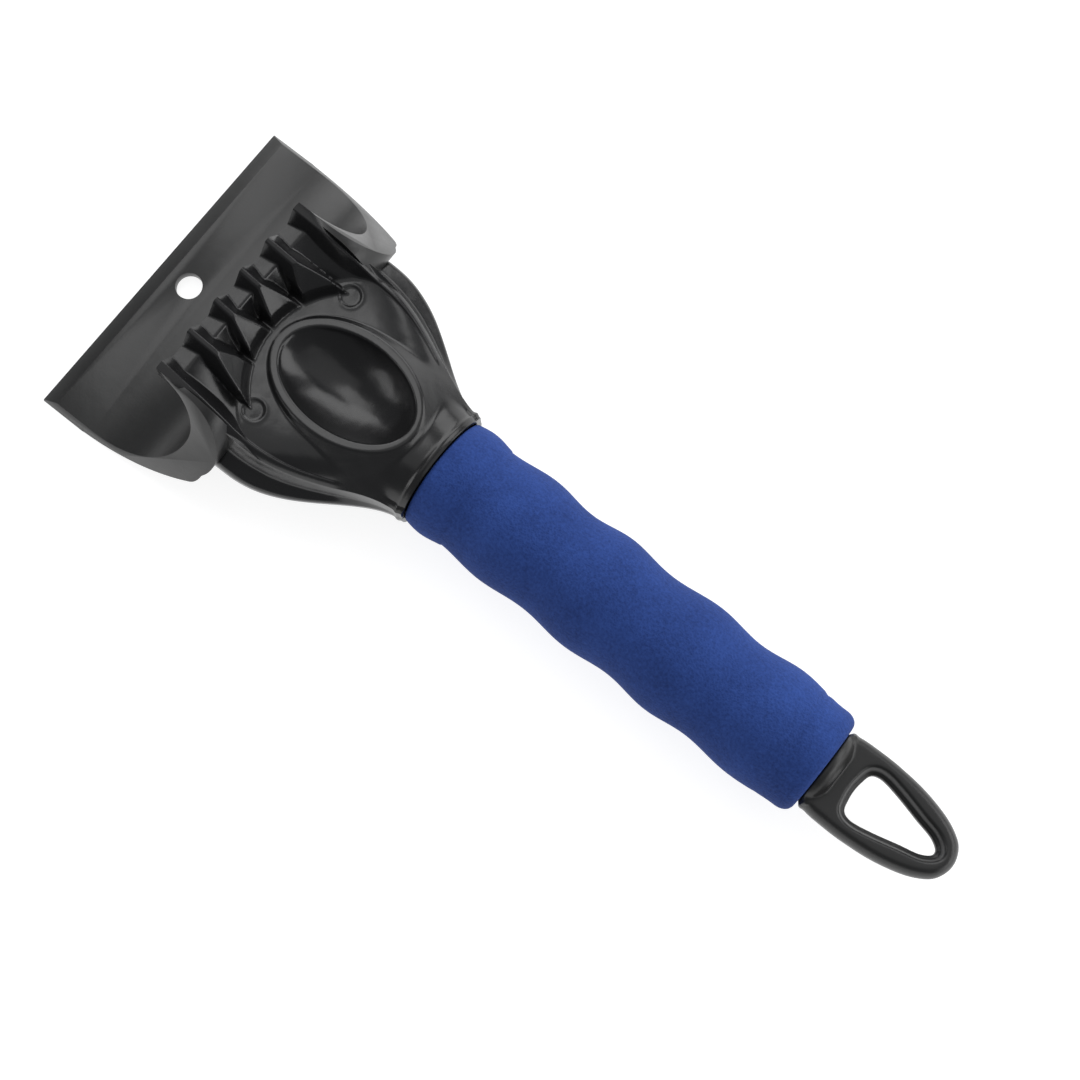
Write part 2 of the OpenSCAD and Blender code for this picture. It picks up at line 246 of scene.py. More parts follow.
head_plastic = moulded("head_plastic", (0.009, 0.009, 0.0095), 0.24, 0.35, 0.012)
blade_plastic = moulded("blade_plastic", (0.012, 0.012, 0.012), 0.33, 0.15, 0.015)
loop_plastic = moulded("loop_plastic", (0.012, 0.012, 0.012), 0.38, 0.15, 0.03)
print("plastics:", [made.name for made in (head_plastic, blade_plastic, loop_plastic)])

# %% [markdown]
# The light table's sheet is a dull white that gives off a little light itself.

# %% Light table
white, shader, _ = finish("light_table", (0.35, 0.35, 0.35), 0.9, specular=0.1)
shader.inputs["Emission Color"].default_value = (1, 1, 1, 1)
shader.inputs["Emission Strength"].default_value = 0.85
cover(floor, white)
print("floor:", white.name)

# %% [markdown]
# The upper shell of the head is one moulding: a deck that runs from the neck to
# the blade, a raised front with ice breaker teeth, a rib along each side and an
# oval bowl for the thumb. Every part of it flows into the next, so it is made as
# one sheet whose columns run across the head and whose rows run from the neck to
# the front lip. Each point's height is the highest or the lowest of a few simple
# surfaces, and a soft form of both leaves the small fillets a mould has.

# %% Soft maths for moulded shapes


def ease(t):
    """0 below 0, 1 above 1, and a smooth step between."""
    t = np.clip(t, 0, 1)
    return t * t * (3 - 2 * t)


def lerp(a, b, t):
    """The value a part t of the way from a to b."""
    return a + (b - a) * t


def highest(a, b, fillet):
    """The higher of two surfaces, with a fillet of about that size between them."""
    h = np.clip(0.5 + 0.5 * (a - b) / fillet, 0, 1)
    return lerp(b, a, h) + fillet * h * (1 - h)


def lowest(a, b, fillet):
    """The lower of two surfaces, with the same kind of fillet."""
    return -highest(-a, -b, fillet)


print("two surfaces that cross at 1, with a fillet of 0.4:", highest(1, 1, 0.4))

# %% [markdown]
# These sizes, in mm from the end of the head, are what the shapes below share.
# The head's cross-section changes along it, so a function gives it at any place.

# %% Sizes of the head
BACK_X = -47.5      # back of the blade's wings
TOOTH_X = -71.4     # front of the teeth
VALLEY_Z, TOOTH_Z, LIP_Z = 22.9, 27.6, 21.0  # ledge between the teeth, crests, lip's underside
NECK_R, BODY_W, DECK_W = 17.2, 37.2, 30.4
EDGE_Z, DECK_Z, BASE_Z = 13.0, 14.0, 9.0
TOOTH_PITCH = 10.7
TEETH = ((0.5, 0.4), (1.5, 0.25))  # distance from the middle in pitches, and slope of the crest
FOOT = (-32.5, 26.9, 27.8)   # oval on which the teeth end: centre, half length, half width
RIM = (-32.2, 22.9, 15.0)    # crest of the bowl's rim
BOWL = (-31.9, 21.7, 13.6)   # inner edge of that rim
BOWL_DEEP, RIM_TILT = 8.6, 0.105
FOOT_Z = 18.0        # height at which the teeth's facets end
SINK_MARK = (-47.6, 20.4)    # dimple over a screw post, on either side of the middle
WALL = 1.9           # thickness of the upper shell


def head_section(x):
    """Half widths, heights and depth of the head at a distance x."""
    t = np.clip((x - BACK_X) / -BACK_X, 0, 1)
    narrowing = 1 - ease(t ** 1.25)
    return {
        "power": 2 / lerp(0.5, 1.0, ease(t)),
        "deck_w": lerp(NECK_R, DECK_W, narrowing) - np.clip((BACK_X - x) / 23.9, 0, 1),
        "edge_z": lerp(0.6, EDGE_Z, (1 - t) ** 2),
        "deck_z": lerp(DECK_Z, NECK_R, ease(t)),
        "body_w": lerp(NECK_R + 0.15, BODY_W, narrowing),
        "body_z": lerp(-0.5, 4.6, (1 - t) ** 1.5),
        "depth": lerp(BASE_Z, NECK_R, ease(t ** 0.8)),
    }


for x in (0.0, BACK_X):
    print("half widths at", x, [round(float(head_section(x)[key]), 1) for key in ("deck_w", "body_w")])

# %% [markdown]
# The deck is crowned: nearly flat beside the blade's wings and round at the neck.
# At the front a level ledge lies above it. The bowl is an oval hollow, and how far
# a place is from an oval decides what belongs to the hollow and what to its rim.

# %% Deck and bowl


def oval(x, y, shape):
    """Elliptical radius, 1 on the oval, and the distance from it in mm."""
    u, v = x - shape[0], y
    radius = np.sqrt((u / shape[1]) ** 2 + (v / shape[2]) ** 2) + 1e-6
    slope = np.sqrt((u / shape[1] ** 2) ** 2 + (v / shape[2] ** 2) ** 2) / radius + 1e-6
    return radius, (radius - 1) / slope


def deck_height(x, y):
    """The crowned deck, from flat at the wings to round at the neck."""
    c = head_section(x)
    across = np.clip(np.abs(y) / c["deck_w"], 0, 1)
    crown = (1 - across ** c["power"]) ** (1 / c["power"])
    return c["edge_z"] + (c["deck_z"] - c["edge_z"]) * crown


def floor_height(x, y):
    """The deck, and at the front a level ledge that slopes steeply down to it."""
    ledge_end = TOOTH_X + 5.2
    slope_end = -62.6 + 0.0235 * y ** 2
    slope = VALLEY_Z - (VALLEY_Z - 13.0) * (x - ledge_end) / (slope_end - ledge_end)
    return highest(lowest(VALLEY_Z, slope, 0.3), deck_height(x, y), 0.7)


def rim_height(x):
    """Height of the bowl's rim, which rises a little towards the neck."""
    return 16.5 + RIM_TILT * (x + 31.8) + 0.25 * ease((-40 - x) / 14)


def bowl_height(x, y):
    """The hollow for the thumb, and how far outside its edge a place is."""
    radius, outside = oval(x, y, BOWL)
    depth = BOWL_DEEP * np.clip(1 - radius ** 2, 0, 1) ** 0.9
    return rim_height(x) + 0.5 - depth + np.clip(outside, -0.6, 3), outside


print("bottom of the bowl:", round(float(bowl_height(BOWL[0], 0.0)[0]), 1))

# %% [markdown]
# The ice breaker teeth are ridges with steep flanks. Behind, each ends in a
# sloping facet, and all facets meet the deck on an oval round the bowl. The side
# ribs are the outermost ridges, and they run on along the edges of the deck.

# %% Teeth, ribs and the whole surface


def with_teeth(z, x, y):
    """Adds the teeth: a narrow crest, two flanks, and a sloping facet behind."""
    around, _ = oval(x, y, FOOT)
    facet = np.where(around > 1, FOOT_Z + (around - 1) * 31.0, FOOT_Z + (around - 1) * 80.0)
    for place, fall in TEETH:
        crest = TOOTH_Z - fall * (x - TOOTH_X)
        off = np.abs(np.abs(y) - place * TOOTH_PITCH)
        flank = lowest(crest - 1.5 * (off - 0.6), crest - 4.5 - 3.5 * (off - 3.6), 0.5)
        tooth = lowest(lowest(crest, flank, 0.25), facet, 0.25)
        z = np.where(x < -44, highest(z, tooth, 0.35), z)
    return z


def with_ribs(z, x, y):
    """Adds the side ribs, which run on as a low ridge along the deck's edge."""
    side = np.abs(y)
    edge_y = head_section(x)["deck_w"]
    crest_y = edge_y - lerp(2.4, 1.7, ease((x + 50) / 25))
    ridge = deck_height(x, crest_y) + 0.8 * ease((-8 - x) / 30)
    back = x - TOOTH_X
    crest = highest(TOOTH_Z - 0.176 * back - 0.0127 * back ** 2, ridge, 1.6)
    low_edge = highest(crest - 0.3 - 1.3 * ease((x + 68) / 14), head_section(x)["edge_z"], 0.8)
    top = lerp(crest, low_edge, np.clip((side - crest_y) / (edge_y - crest_y), 0, 1) ** 1.8)
    wall = crest - 1.5 * (crest_y - side)
    return highest(z, lowest(top, wall, 0.25), 0.35)


def top_height(x, y):
    """Height of the upper shell's surface over a place in plan."""
    z = with_ribs(with_teeth(floor_height(x, y), x, y), x, y)
    # sink marks over the screw posts
    mark = np.hypot(x - SINK_MARK[0], np.abs(y) - SINK_MARK[1])
    z = z - 0.35 * ease((3.3 - mark) / 0.8) + 0.12 * np.exp(-((mark - 3.4) / 0.5) ** 2)
    # bowl: a raised rim with a sloping outside, and the hollow inside it
    _, away = oval(x, y, RIM)
    rim = rim_height(x)
    z = highest(z, lowest(rim, rim - 1.1 * (away - 0.7), 0.5), 0.5)
    hollow, outside = bowl_height(x, y)
    return np.where(outside < 1.2, lowest(z, hollow, 0.5), z)


def under_height(x, y):
    """Height of the shell's inside: a wall below the deck and the bowl."""
    hollow, outside = bowl_height(x, y)
    z = floor_height(x, y)
    return np.minimum(LIP_Z, np.where(outside < 1.2, lowest(z, hollow, 0.5), z) - WALL)


print("front end of a tooth:", round(float(top_height(TOOTH_X, TOOTH_PITCH / 2)), 1))

# %% [markdown]
# The surface is sampled where it needs it: closely across the teeth, and evenly
# from the neck to the front. At both sides a row goes down the flank to the split
# line, and there the outside and the inside of the wall share their points.

# %% Rows and columns of the upper shell
ROWS = np.concatenate([
    np.linspace(0, -4, 12, endpoint=False), np.linspace(-4, -30, 52, endpoint=False),
    np.linspace(-30, TOOTH_X, 104)])
DECK_COLUMNS, FLANK_COLUMNS = 118, 20
FRONT_ROWS = 7
STEADY_W = 29.4  # half width inside which the columns of the wide part run parallel
SPREAD = np.sin(np.linspace(-1, 1, 2 * DECK_COLUMNS + 1) * math.pi / 2)


def bead(x):
    """The raised ring round the end of the neck."""
    return 0.45 * np.exp(-((x + 1.5) / 0.7) ** 2)


def flank_path(x, deck_w, edge_z):
    """Points down the side of the head, from the deck's edge to the split line."""
    c = head_section(np.array(x))
    inside_wing = ease((-51.5 - x) / 3.0)
    width = lerp(float(c["body_w"]), deck_w + 0.3, inside_wing)
    bottom = lerp(0.0, min(LIP_Z, edge_z - 1.5), ease((-52.5 - x) / 4.0))
    bulge_z = max(lerp(float(c["body_z"]), bottom + 1, inside_wing), bottom + 0.02)
    points = np.array([
        [deck_w, edge_z],
        [lerp(deck_w, width, 0.12), lerp(edge_z, bulge_z, 0.35)],
        [lerp(deck_w, width, 0.30), lerp(edge_z, bulge_z, 0.74)],
        [lerp(deck_w, width, 0.62), lerp(edge_z, bulge_z, 0.86)],
        [lerp(deck_w, width, 0.90), lerp(edge_z, bulge_z, 0.96)],
        [width, lerp(bulge_z, bottom, 0.35)],
        [width, bottom]])
    steps = np.concatenate([[0], np.cumsum(np.hypot(*np.diff(points, axis=0).T) + 1e-6)])
    places = np.linspace(0, steps[-1], FLANK_COLUMNS + 1)[1:]
    return np.interp(places, steps, points[:, 0]), np.interp(places, steps, points[:, 1])


def upper_row(x):
    """One row across the upper shell: its outside and its inside, as X, Y, Z."""
    deck_w = float(head_section(np.array(x))["deck_w"])
    steady = STEADY_W * min(deck_w / DECK_W if x > BACK_X else 1.0, 1.0)
    across = SPREAD * lerp(steady, deck_w, ease((np.abs(SPREAD) - 0.85) / 0.15))
    z = top_height(np.full_like(across, x), across)
    side_y, side_z = flank_path(x, deck_w, float(z[-1]))
    y = np.concatenate([-side_y[::-1], across, side_y])
    z = np.concatenate([side_z[::-1], z, side_z])
    grow = 1 + bead(x) / NECK_R
    outside = np.column_stack([np.full_like(y, x), y * grow, z * grow])
    within = SPREAD * (deck_w - WALL)
    under = under_height(np.full_like(within, x), within)
    side_z = np.maximum(np.minimum(side_z, under[-1]), side_z[-1])
    y = np.concatenate([WALL - side_y[::-1], within, side_y - WALL])
    z = np.concatenate([side_z[::-1], under, side_z])
    inside = np.column_stack([np.full_like(y, x), y, z])
    inside[[0, -1]] = outside[[0, -1]]  # the wall closes along the split line
    return outside, inside


outside, inside = (np.array(side) for side in zip(*[upper_row(x) for x in ROWS]))
front = []  # rows round the lip, from the outside's last row to the inside's
for i in range(1, FRONT_ROWS + 1):
    row = outside[-1].copy()
    row[1:-1, 2] = lerp(row[1:-1, 2], np.maximum(inside[-1, 1:-1, 2], LIP_Z), i / FRONT_ROWS)
    row[1:-1, 0] = TOOTH_X - 0.25 * math.sin(0.75 * math.pi * i / FRONT_ROWS)
    front.append(row)
sheet_points = np.concatenate([outside, front, inside[::-1], outside[:1]])
print("upper shell grid:", sheet_points.shape[:2])

# %% [markdown]
# The grid primitive gives the sheet its faces, and its points then take their
# places. Merging points that lie on each other closes a sheet. These small tools
# do that and the other steps that every piece needs.

# %% Tools for meshes


def grid_piece(name, points):
    """A grid primitive whose points take the given places, in mm."""
    count_u, count_v = points.shape[:2]
    bpy.ops.object.select_all(action="DESELECT")
    bpy.ops.mesh.primitive_grid_add(
        x_subdivisions=count_v - 1, y_subdivisions=count_u - 1, size=1)
    piece = bpy.context.object
    piece.name = piece.data.name = name
    flat = points.reshape(-1, 3) * MM + origin
    piece.data.vertices.foreach_set("co", flat.astype(np.float32).ravel())
    piece.data.update()
    return piece


def edit(piece, *steps):
    """Runs edit-mode steps on all of a piece."""
    bpy.ops.object.select_all(action="DESELECT")
    piece.select_set(True)
    bpy.context.view_layer.objects.active = piece
    bpy.ops.object.mode_set(mode="EDIT")
    bpy.ops.mesh.select_all(action="SELECT")
    for step in steps:
        step()
    bpy.ops.object.mode_set(mode="OBJECT")


def modify(piece, kind, **settings):
    """Adds a modifier, sets it and applies it."""
    bpy.ops.object.select_all(action="DESELECT")
    piece.select_set(True)
    bpy.context.view_layer.objects.active = piece
    made = piece.modifiers.new(kind.lower(), kind)
    for key, value in settings.items():
        setattr(made, key, value)
    bpy.ops.object.modifier_apply(modifier=made.name)


def smooth(piece, angle):
    """Shades smoothly across edges that turn by less than an angle in degrees."""
    bpy.ops.object.select_all(action="DESELECT")
    piece.select_set(True)
    bpy.context.view_layer.objects.active = piece
    bpy.ops.object.shade_smooth_by_angle(angle=math.radians(angle))


def close(piece):
    """Merges doubled points, drops what lost its area, and turns faces outwards."""
    edit(piece, lambda: bpy.ops.mesh.remove_doubles(threshold=2e-6),
         lambda: bpy.ops.mesh.dissolve_degenerate(threshold=1e-7),
         lambda: bpy.ops.mesh.normals_make_consistent(inside=False))


print("mesh tools:", [tool.__name__ for tool in (grid_piece, edit, modify, smooth, close)])

# %% [markdown]
# The rows of the upper shell run along the outside, round the lip and back along
# the inside, so the sheet becomes a closed wall.

# %% Upper shell
upper = grid_piece("upper_shell", sheet_points)
close(upper)
smooth(upper, 70)
cover(upper, head_plastic)
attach(upper, "root")
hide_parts("head_top_shell")
print("upper shell:", len(upper.data.polygons), "faces")

# %% [markdown]
# Posts, holes and counterbores are cylinders that are joined to a piece or taken
# away from it. The exact solver of the Boolean modifier keeps such walls closed.

# %% Tools that add and take away


def cut(piece, tool):
    """Takes a tool away from a piece, and removes the tool."""
    modify(piece, "BOOLEAN", operation="DIFFERENCE", solver="EXACT", object=tool)
    bpy.data.objects.remove(tool)


def join(piece, addition):
    """Melts another shape into a piece, and removes that shape."""
    modify(piece, "BOOLEAN", operation="UNION", solver="EXACT", object=addition)
    bpy.data.objects.remove(addition)


def rod(place, radius, length, direction="Z"):
    """A cylinder centred on a place, to cut or to join with."""
    turn = {"Z": (0, 0, 0), "X": (0, math.pi / 2, 0)}[direction]
    bpy.ops.object.select_all(action="DESELECT")
    bpy.ops.mesh.primitive_cylinder_add(
        vertices=96, radius=radius * MM, depth=length * MM, location=at(*place), rotation=turn)
    made = bpy.context.object
    bpy.ops.object.transform_apply(location=True, rotation=True, scale=True)
    return made


print("shape tools:", [tool.__name__ for tool in (cut, join, rod)])

# %% [markdown]
# The lower shell closes the head from below. It meets the upper shell at the
# split line, bulges out behind the wings and narrows to the neck. Two posts in it
# carry the screws, whose heads sit in round counterbores.

# %% Lower shell
LOWER_COLUMNS = 96
LOWER_WALL = 2.6
SHOULDER_X, NOSE_X = -44.0, -55.5   # in front of the shoulder the shell rounds off to its nose
NOSE_LEN, NOSE_NARROWING = 12.5, 3.0
SCREWS = [(-46.0, -20.4), (-46.0, 20.4)]
POST_Z, POST_R, POST_LEN = -1.0, 4.9, 11.0
COUNTERBORE_Z, COUNTERBORE_R, COUNTERBORE_LEN = -9.35, 3.25, 10.0


def lower_row(x):
    """One row under the head, from split line to split line, outside and inside."""
    c = head_section(np.array(x))
    nose = math.sqrt(max(1 - (max(SHOULDER_X - x, 0) / NOSE_LEN) ** 2, 0.05))
    width, depth = float(c["body_w"]) - NOSE_NARROWING * (1 - nose), float(c["depth"]) * nose
    angles = np.linspace(0, -math.pi, LOWER_COLUMNS + 1)
    grow = 1 + bead(x) / NECK_R
    outside = np.column_stack([np.full_like(angles, x), grow * width * np.cos(angles),
                               grow * depth * np.sin(angles)])
    inside = np.column_stack([np.full_like(angles, x), (width - LOWER_WALL) * np.cos(angles),
                              max(depth - LOWER_WALL, 0.4) * np.sin(angles)])
    inside[[0, -1]] = outside[[0, -1]]
    outside[:, 2] = np.maximum(outside[:, 2], REST_Z)
    return outside, inside


lower_places = np.concatenate([
    np.linspace(0, -4, 12, endpoint=False), np.linspace(-4, SHOULDER_X, 50, endpoint=False),
    np.linspace(SHOULDER_X, NOSE_X, 30)])
outside, inside = (np.array(side) for side in zip(*[lower_row(x) for x in lower_places]))
lower = grid_piece("lower_shell", np.concatenate([outside, inside[::-1], outside[:1]]))
close(lower)
for x, y in SCREWS:
    join(lower, rod((x, y, POST_Z), POST_R, POST_LEN))
    cut(lower, rod((x, y, COUNTERBORE_Z), COUNTERBORE_R, COUNTERBORE_LEN))
smooth(lower, 35)
cover(lower, head_plastic)
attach(lower, "root")
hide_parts("head_base_shell")
print("lower shell:", len(lower.data.polygons), "faces")

# %% [markdown]
# The blade is one moulding with a curl like a snow plough's. Its side view is
# drawn with arcs: a flat front, a sole that rises in one long curve to the heel,
# the round back of the wings, and the scooped face that curls over at the top.

# %% Side view of the blade
PLATE_T = 3.0       # thickness of the blade's floor, and of its seat under the head
FLOOR_Z = REST_Z + PLATE_T
SCOOP_R, CURL_R, SCOOP_TURN = 30.0, 12.0, math.radians(80)
SCOOP = (EDGE_X + 17.8, FLOOR_Z + SCOOP_R, SCOOP_R)  # a circle: X and Z of its centre, radius
CURL = (SCOOP[0] + (SCOOP_R - CURL_R) * math.sin(SCOOP_TURN),
        SCOOP[1] - (SCOOP_R - CURL_R) * math.cos(SCOOP_TURN), CURL_R)
WING_T, BACK_R = 9.6, 15.0
WING_BACK = (CURL[0] + CURL_R + WING_T - BACK_R, CURL[1] - 2.7, BACK_R)
EDGE_T, BEVEL_LEN, SOLE_START = 0.5, 4.6, EDGE_X + 9.6


def arc(circle, start, end, count):
    """Points on a circle, with angles in degrees."""
    angles = np.radians(np.linspace(start, end, count))
    return [(circle[0] + circle[2] * math.cos(a), circle[1] + circle[2] * math.sin(a))
            for a in angles]


def rounded(start, corner, end, count=9):
    """Points that turn a corner smoothly, between its two ends."""
    return [tuple((1 - t) ** 2 * a + 2 * t * (1 - t) * b + t * t * c
                  for a, b, c in zip(start, corner, end))
            for t in np.linspace(0, 1, count)[1:]]


heel = arc(WING_BACK, -45, -45, 1)[0]
rise, run = heel[1] - 2.4 - REST_Z, heel[0] + 0.4 - SOLE_START
sole_r = (run * run + rise * rise) / (2 * rise)
sole = arc((SOLE_START, REST_Z + sole_r, sole_r), -90, -90 + math.degrees(math.asin(run / sole_r)), 40)
outline = (
    [(EDGE_X, REST_Z + EDGE_T), (EDGE_X, REST_Z)]
    + sole[:-2]
    + rounded(sole[-3], (heel[0] + 0.6, heel[1] - 2.2), arc(WING_BACK, -36, -36, 1)[0])
    + arc(WING_BACK, -33, 96, 58)
    + [(-66.5, TOOTH_Z - 2.2), (-70.6, TOOTH_Z - 1.6)]
    + (arc(SCOOP, -90, -10, 60) + arc(CURL, -6, 75, 48))[::-1]
    + [(EDGE_X + BEVEL_LEN, FLOOR_Z)])
print("side view of the blade:", len(outline), "points")

# %% [markdown]
# A circle primitive takes that outline and is extruded across the blade's width.
# The body is then cut at both ends by leaning planes, which gives the pale
# crescent ends, and it gets its hanging hole and slightly broken edges.

# %% Blade
BLADE_HALF, LEAN = 51.0, 0.5
HOLE_IN, HOLE_R = 11.2, 3.9


def prism(name, outline, half, across="Y"):
    """A drawing in X and Z, or in X and Y, extruded to both sides of the middle."""
    bpy.ops.object.select_all(action="DESELECT")
    bpy.ops.mesh.primitive_circle_add(vertices=len(outline), fill_type="NGON")
    piece = bpy.context.object
    piece.name = piece.data.name = name
    for vertex, (a, b) in zip(piece.data.vertices, outline):
        vertex.co = at(a, -half, b) if across == "Y" else at(a, b, -half)
    width = 2 * half * MM
    move = (0, width, 0) if across == "Y" else (0, 0, width)
    edit(piece, lambda: bpy.ops.mesh.extrude_region_move(TRANSFORM_OT_translate={"value": move}),
         lambda: bpy.ops.mesh.select_all(action="SELECT"),
         lambda: bpy.ops.mesh.normals_make_consistent(inside=False))
    return piece


blade = prism("blade", outline, BLADE_HALF)
for s in (-1, 1):
    edit(blade, lambda: bpy.ops.mesh.bisect(
        plane_co=at(0, s * BLADE_HALF, REST_Z), plane_no=(0, s, LEAN), use_fill=True, clear_outer=True))
cut(blade, rod((EDGE_X + HOLE_IN, 0, REST_Z), HOLE_R, 12))
edit(blade, lambda: bpy.ops.mesh.remove_doubles(threshold=1e-6),
     lambda: bpy.ops.mesh.normals_make_consistent(inside=False))
modify(blade, "BEVEL", width=0.0003, segments=2, limit_method="ANGLE", angle_limit=math.radians(28))
print("blade before the head's room is cut:", len(blade.data.polygons), "faces")

# %% [markdown]
# The head sits in the middle of the blade, so the blade is cut away there: a
# pocket behind the curl leaves a thin seat, a level cut keeps the curl below the
# front lip, and a grid that follows the middle of the upper shell's wall takes
# what would show between the teeth. The three cuts differ a little in width, so
# that none of their side faces coincide.

# %% Room for the head
POCKET_HALF, LIP_HALF, ROOM_HALF = 28.6, 28.5, 28.55
POCKET_Z, ABOVE = 1.5, 60.0
pocket_face = (arc((SCOOP[0], SCOOP[1], SCOOP_R + PLATE_T), -60, -10, 40)
               + arc((CURL[0], CURL[1], CURL_R + PLATE_T), -6, 40, 24))
pocket_face = [place for place in pocket_face if place[1] > POCKET_Z]
cut(blade, prism("pocket", pocket_face + [(-58, 40), (-20, 40), (-20, POCKET_Z)], POCKET_HALF))
lip_room = [(-140, LIP_Z - 0.6), (-66.8, LIP_Z - 0.6), (-66.8, ABOVE), (-140, ABOVE)]
cut(blade, prism("lip", lip_room, LIP_HALF))
across = np.concatenate([[-ROOM_HALF], np.linspace(-ROOM_HALF, ROOM_HALF, 90), [ROOM_HALF]])
above, below = [], []
for x in np.linspace(-40, -67.0, 70):
    row_x = np.full_like(across, x)
    below.append(np.column_stack([row_x, across, under_height(row_x, across) + WALL / 2]))
    above.append(np.column_stack([row_x, across, np.full_like(across, ABOVE)]))
    below[-1][[0, -1]] = above[-1][[0, -1]]
room = grid_piece("room", np.array(above + below[::-1] + above[:1]))
close(room)
cut(blade, room)
close(blade)
smooth(blade, 30)
cover(blade, blade_plastic)
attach(blade, "root")
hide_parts("scraper_blade")
print("blade:", len(blade.data.polygons), "faces")

# %% [markdown]
# The sleeve is closed-cell foam, pulled over the tube. It has finger waves along
# its length and it is never quite round, so a grid is wrapped round the axis and
# each point's radius comes from the waves and from a little seeded unevenness.

# %% Foam sleeve
WAVE_LENGTH, WAVE_DEPTH, SLEEVE_R = 28.3, 0.65, 16.45
FIRST_CREST, FIRST_LENGTH, SECOND_CREST = 5.5, 19.0, 26.3  # the wave next to the head is shorter
BORE_R = 11.0
ROUND = 4.0         # rounding of the sleeve's far end
rng = np.random.default_rng(7)
lumps = [(rng.uniform(0.05, 0.16), rng.integers(1, 4), rng.uniform(0.1, 0.35), rng.uniform(0, 6.28))
         for _ in range(10)]  # size, turns round the sleeve, pace along it, shift


def sleeve_radius(x, angle):
    """Outside radius of the sleeve along and round it."""
    wave = WAVE_DEPTH * np.cos(2 * math.pi * (x - SECOND_CREST) / WAVE_LENGTH)
    first = WAVE_DEPTH * np.cos(2 * math.pi * (x - FIRST_CREST) / FIRST_LENGTH)
    wave = np.where(x < 12, first, wave)
    uneven = sum(size * np.sin(turns * angle + pace * x + shift) for size, turns, pace, shift in lumps)
    radius = SLEEVE_R + wave + 0.35 * uneven
    from_crease = x - GRIP_END + 10 + 1.2 * np.sin(angle * 2)
    crease = 0.35 * np.exp(-(from_crease / 0.8) ** 2) * (0.5 + 0.5 * np.sin(angle + 1))
    start = 1 - np.sqrt(np.clip(1 - (1 - np.clip((x - SLEEVE_START) / 0.5, 0, 1)) ** 2, 0, 1))
    end = 1 - np.sqrt(np.clip(1 - (1 - np.clip((GRIP_END - x) / ROUND, 0, 1)) ** 2, 0, 1))
    return radius - crease - 0.4 * start - ROUND * 0.8 * end


along = np.concatenate([
    SLEEVE_START + 0.7 * (1 - np.cos(np.linspace(0, math.pi / 2, 9, endpoint=False))),
    np.linspace(1.0, GRIP_END - ROUND, 220, endpoint=False),
    GRIP_END - ROUND + ROUND * np.sin(np.linspace(0, math.pi / 2, 20))])
around = np.linspace(0, 2 * math.pi, 161)
grid_x, grid_a = np.meshgrid(along, around, indexing="ij")
radius = sleeve_radius(grid_x, grid_a)
sleeve_points = np.stack([grid_x, radius * np.sin(grid_a), radius * np.cos(grid_a)], axis=-1)
inner_rings = [np.stack([np.full_like(around, x), r * np.sin(around), r * np.cos(around)], axis=-1)
               for x, r in ((GRIP_END, BORE_R + 0.6), (GRIP_END - 2, BORE_R),
                            (GRIP_END / 2, BORE_R), (SLEEVE_START, BORE_R))]
sleeve_points = np.concatenate([sleeve_points, inner_rings, sleeve_points[:1]])
sleeve = grid_piece("foam_sleeve", sleeve_points)
close(sleeve)
smooth(sleeve, 60)
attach(sleeve, "root")
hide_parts("foam_grip")
print("sleeve:", len(sleeve.data.polygons), "faces")

# %% [markdown]
# Foam shows its cut cells: tiny pits, over slow patches of darker and lighter blue.
# A Voronoi and a noise pattern give the pits, and a slower noise gives the
# patches. The colour is made darker where the pits dip and lighter on their walls,
# which is painted shade; the patches are the foam's own uneven tone.

# %% Foam finish
foam, shader, places = finish("foam", (0.03, 0.075, 0.32), 0.85, specular=0.25)
cells = places.out("ShaderNodeTexVoronoi", {"feature": "F1"}, Vector=places, Scale=1500.0)
pits = places.out(
    "ShaderNodeTexNoise", None, Vector=places, Scale=1100.0, Detail=4.0, Roughness=0.65)
patches = places.out(
    "ShaderNodeTexNoise", None, Vector=places, Scale=60.0, Detail=4.0, Roughness=0.6)
DARK_BLUE, LIGHT_BLUE = (0.009, 0.029, 0.14, 1), (0.028, 0.073, 0.30, 1)
# painted shade: the pits and cells darken the blue where the relief below dips; the patches are uneven
# tone
tone_and_pit_shade = (patches - 0.5) * 0.9 + (pits - 0.5) * 1.1 + (cells - 0.45) * 0.25 + 0.5
connect(tone_and_pit_shade.limit(0.1, 0.9).mix(DARK_BLUE, LIGHT_BLUE), shader, "Base Color")
relief(places, shader, pits * 0.6 + cells * 0.4, 0.00035, 0.7)
cover(sleeve, foam)
print("foam nodes:", len(foam.node_tree.nodes))

# %% [markdown]
# The hanging loop is a teardrop of rounded bars with a thin web along the inside.
# Its plan is two closed lines, each drawn smoothly through a few places.

# %% Plan of the loop


def curve_through(points, count):
    """Points on a smooth closed line through a few places (Catmull-Rom)."""
    found, n = [], len(points)
    for i in range(n):
        p = [np.array(points[(i + k) % n], float) for k in (-1, 0, 1, 2)]
        for j in range(count):
            t = j / count
            found.append(0.5 * (2 * p[1] + (p[2] - p[0]) * t
                                + (2 * p[0] - 5 * p[1] + 4 * p[2] - p[3]) * t ** 2
                                + (3 * p[1] - p[0] - 3 * p[2] + p[3]) * t ** 3))
    return [tuple(p) for p in found]


half_outline = [(130.4, 10.5), (133, 12.4), (138, 12.8), (145, 12.8),
                (154, 12.0), (162, 10.2), (167.3, 8.0), (171, 5.0)]
loop_outline = half_outline + [(TIP_X, 0)] + [(x, -y) for x, y in half_outline[::-1]]
half_opening = [(140.6, 3.0), (141.5, 6.0), (144.5, 6.9), (150, 6.0), (158, 4.0), (164, 2.5)]
opening = half_opening + [(166.8, 0)] + [(x, -y) for x, y in half_opening[::-1]] + [(140.3, 0)]
outer, inner = curve_through(loop_outline, 12), curve_through(opening, 12)


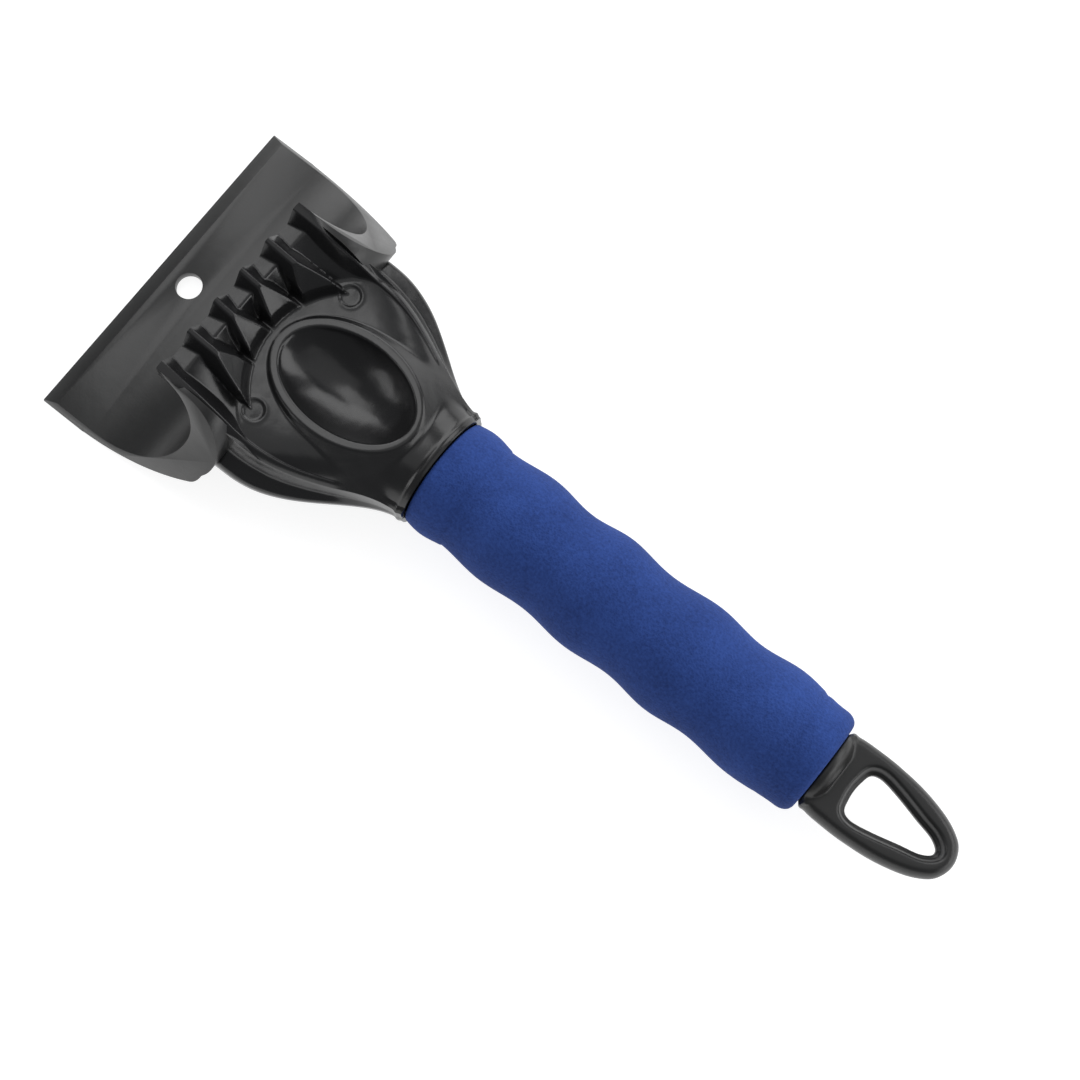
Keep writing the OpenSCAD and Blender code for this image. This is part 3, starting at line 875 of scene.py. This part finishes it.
def grown(outline, distance):
    """A closed outline moved outwards, or inwards for a negative distance."""
    places = np.array(outline)
    along = np.roll(places, -1, axis=0) - np.roll(places, 1, axis=0)
    normal = np.column_stack([along[:, 1], -along[:, 0]]) / np.hypot(*along.T)[:, None]
    turning = np.sum(np.cross(places, np.roll(places, -1, axis=0)))
    return [tuple(p) for p in places + normal * distance * np.sign(turning)]


print("plan of the loop:", len(outer), "points outside,", len(inner), "round the opening")

# %% [markdown]
# The section is built up in layers, from the web to the full thickness. Each is
# the plan outline, drawn a little smaller the thicker the layer is, with an
# opening that grows the same way. Discs make the cone at the sleeve's end, and a
# plug goes into the tube. A voxel remesh with some smoothing then melts the steps
# into one moulding with soft edges.

# %% Hanging loop
LOOP_T = 9.6
WEB_HALF, WEB_W = 1.5, 1.1   # half thickness of the web, and how far it reaches inwards
LAYER_HALVES = (WEB_HALF, 2.5, 3.3, 3.9, 4.4, LOOP_T / 2)
INSET, WIDENING = 3.0, 1.6   # how much a layer's outline draws in and its opening grows
CONE_STEPS, CONE_TIP_R, CONE_RISE = 6, 4.5, 6.7
PLUG_R, PLUG_LEN = 7.9, 20
layers = []
for half in LAYER_HALVES:
    bulge = 1 - math.sqrt(1 - (half / (LOOP_T / 2 + 0.1)) ** 2)
    layer = prism("hang_loop_moulded", grown(outer, -INSET * bulge), half, "Z")
    growth = WEB_W + WIDENING * bulge if half > WEB_HALF else 0
    cut(layer, prism("opening", grown(inner, growth), LOOP_T, "Z"))
    layers.append(layer)
for i in range(CONE_STEPS):
    radius = CONE_TIP_R + CONE_RISE * math.sqrt(1 - (i / CONE_STEPS) ** 2)
    layers.append(rod((GRIP_END + 0.4 + 0.7 * i, 0, 0), radius, 0.9, "X"))
layers.append(rod((GRIP_END - 9, 0, 0), PLUG_R, PLUG_LEN, "X"))
bpy.ops.object.select_all(action="DESELECT")
for layer in layers:
    layer.select_set(True)
hang_loop = layers[0]
bpy.context.view_layer.objects.active = hang_loop
bpy.ops.object.join()
hang_loop.name = hang_loop.data.name = "hang_loop_moulded"
modify(hang_loop, "REMESH", mode="VOXEL", voxel_size=0.00036)
modify(hang_loop, "SMOOTH", factor=0.5, iterations=26)
smooth(hang_loop, 80)
cover(hang_loop, loop_plastic)
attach(hang_loop, "root")
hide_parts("hang_loop")
print("hang loop:", len(hang_loop.data.polygons), "faces")

# %% [markdown]
# The tube, the screws and the pin keep their CAD shapes, since they hardly show.

# %% Hidden parts
steel, shader, _ = finish("steel", (0.55, 0.55, 0.57), 0.35)
shader.inputs["Metallic"].default_value = 1
core_plastic = moulded("core_plastic", (0.02, 0.02, 0.02), 0.5, 0.1, 0.05)
for name, material in (("head_screws", steel), ("loop_pin", steel), ("handle_core", core_plastic)):
    cover(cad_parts[name], material)
    print("kept from the CAD:", name)
